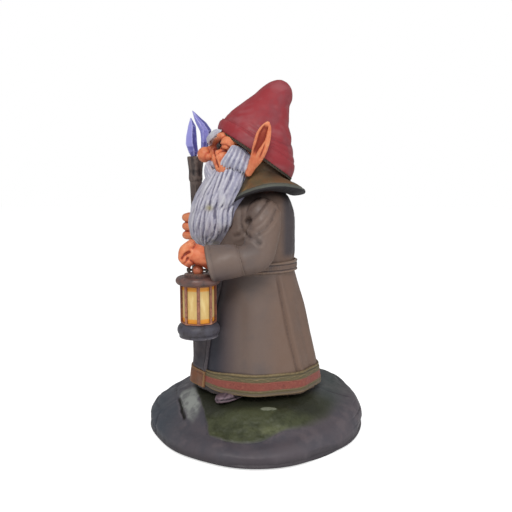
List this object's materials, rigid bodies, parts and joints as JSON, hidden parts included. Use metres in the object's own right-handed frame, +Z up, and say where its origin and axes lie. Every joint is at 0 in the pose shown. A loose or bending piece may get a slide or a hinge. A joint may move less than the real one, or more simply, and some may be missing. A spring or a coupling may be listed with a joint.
{
  "type": "garden gnome",
  "caption": "Cast garden gnome in a long coat and pointed hat on a rock base, holding a lift-out staff with crystals and a swinging lantern.",
  "frame": {"origin": "middle of the underside of the base pad, on the ground", "axes": "+Z up, the gnome faces -Y, its left side is +X"},
  "size_m": [0.204, 0.204, 0.3204],
  "materials": {
    "rock": "painted cast resin, rough, with moss green washes",
    "foam": "matte foam rubber",
    "steel": "plated",
    "boot": "painted, worn leather look",
    "robe": "painted, soft folds with dark washes",
    "hem": "painted embroidery, olive, gold and red",
    "flap": "painted, dark",
    "flap_hem": "painted, orange brown",
    "belt": "painted",
    "collar": "painted, brown to olive with a grey rim",
    "skin": "painted, satin, with darker creases",
    "eye": "gloss",
    "beard": "painted, dry brushed strands",
    "hat": "painted, satin",
    "hat_trim": "painted, dark olive",
    "staff": "painted, wood grain",
    "crystal": "painted, faceted, satin",
    "lantern_dark": "painted, slate",
    "lantern_bars": "painted, copper brown",
    "pane": "translucent amber",
    "lantern_roof": "painted, worn copper brown",
    "finial": "painted copper",
    "wire": "dark",
    "circuit": "solder mask",
    "lamp": "warm white lamp",
    "switch": "moulded"
  },
  "bodies": {
    "figure": {"rock_base": "rock", "base_pad": "foam", "fill_plug": "foam", "figure_screws": "steel", "boot_left": "boot", "boot_right": "boot", "robe_skirt": "robe", "hem_band": "hem", "front_flap": "flap", "flap_hem": "flap_hem", "waist_belt": "belt", "robe_torso": "robe", "collar": "collar", "sleeve_left": "robe", "sleeve_right": "robe", "cuff_left": "robe", "cuff_right": "robe", "hand_left": "skin", "hand_right": "skin", "arm_dowels": "steel", "neck_dowel": "steel", "head": "skin", "nose": "skin", "eyes": "eye", "eyebrows": "beard", "ear_left": "skin", "ear_right": "skin", "whiskers": "beard", "moustache": "beard", "beard": "beard", "hat_cone": "hat", "hat_roll": "hat", "hat_trim": "hat_trim", "lantern_bail": "wire"},
    "staff": {"staff_shaft": "staff", "staff_head": "staff", "crystal_tall": "crystal", "crystal_leaning": "crystal"},
    "lantern": {"lantern_base": "lantern_dark", "lantern_cage": "lantern_bars", "lantern_panes": "pane", "lantern_roof": "lantern_roof", "lantern_finial": "finial", "bail_pin": "steel", "led_board": "circuit", "led_lamp": "lamp", "coin_cell": "steel"},
    "battery_cover": {"battery_cover": "lantern_dark"},
    "lamp_switch": {"switch_slider": "switch"}
  },
  "joints": [
    {"name": "lantern_swing", "type": "hinge", "parent": "figure", "child": "lantern", "pos_m": [0.048, -0.0495, 0.154], "axis": [0, 1, 0], "range_deg": [-12, 2]},
    {"name": "staff_lift", "type": "slide", "parent": "figure", "child": "staff", "axis": [0, 0, 1], "range_m": [0, 0.06]},
    {"name": "cover_turn", "type": "hinge", "parent": "lantern", "child": "battery_cover", "pos_m": [0.048, -0.0495, 0.0965], "axis": [0, 0, 1], "range_deg": [0, 30]},
    {"name": "switch_slide", "type": "slide", "parent": "lantern", "child": "lamp_switch", "axis": [0, 1, 0], "range_m": [0, 0.0024]}
  ]
}
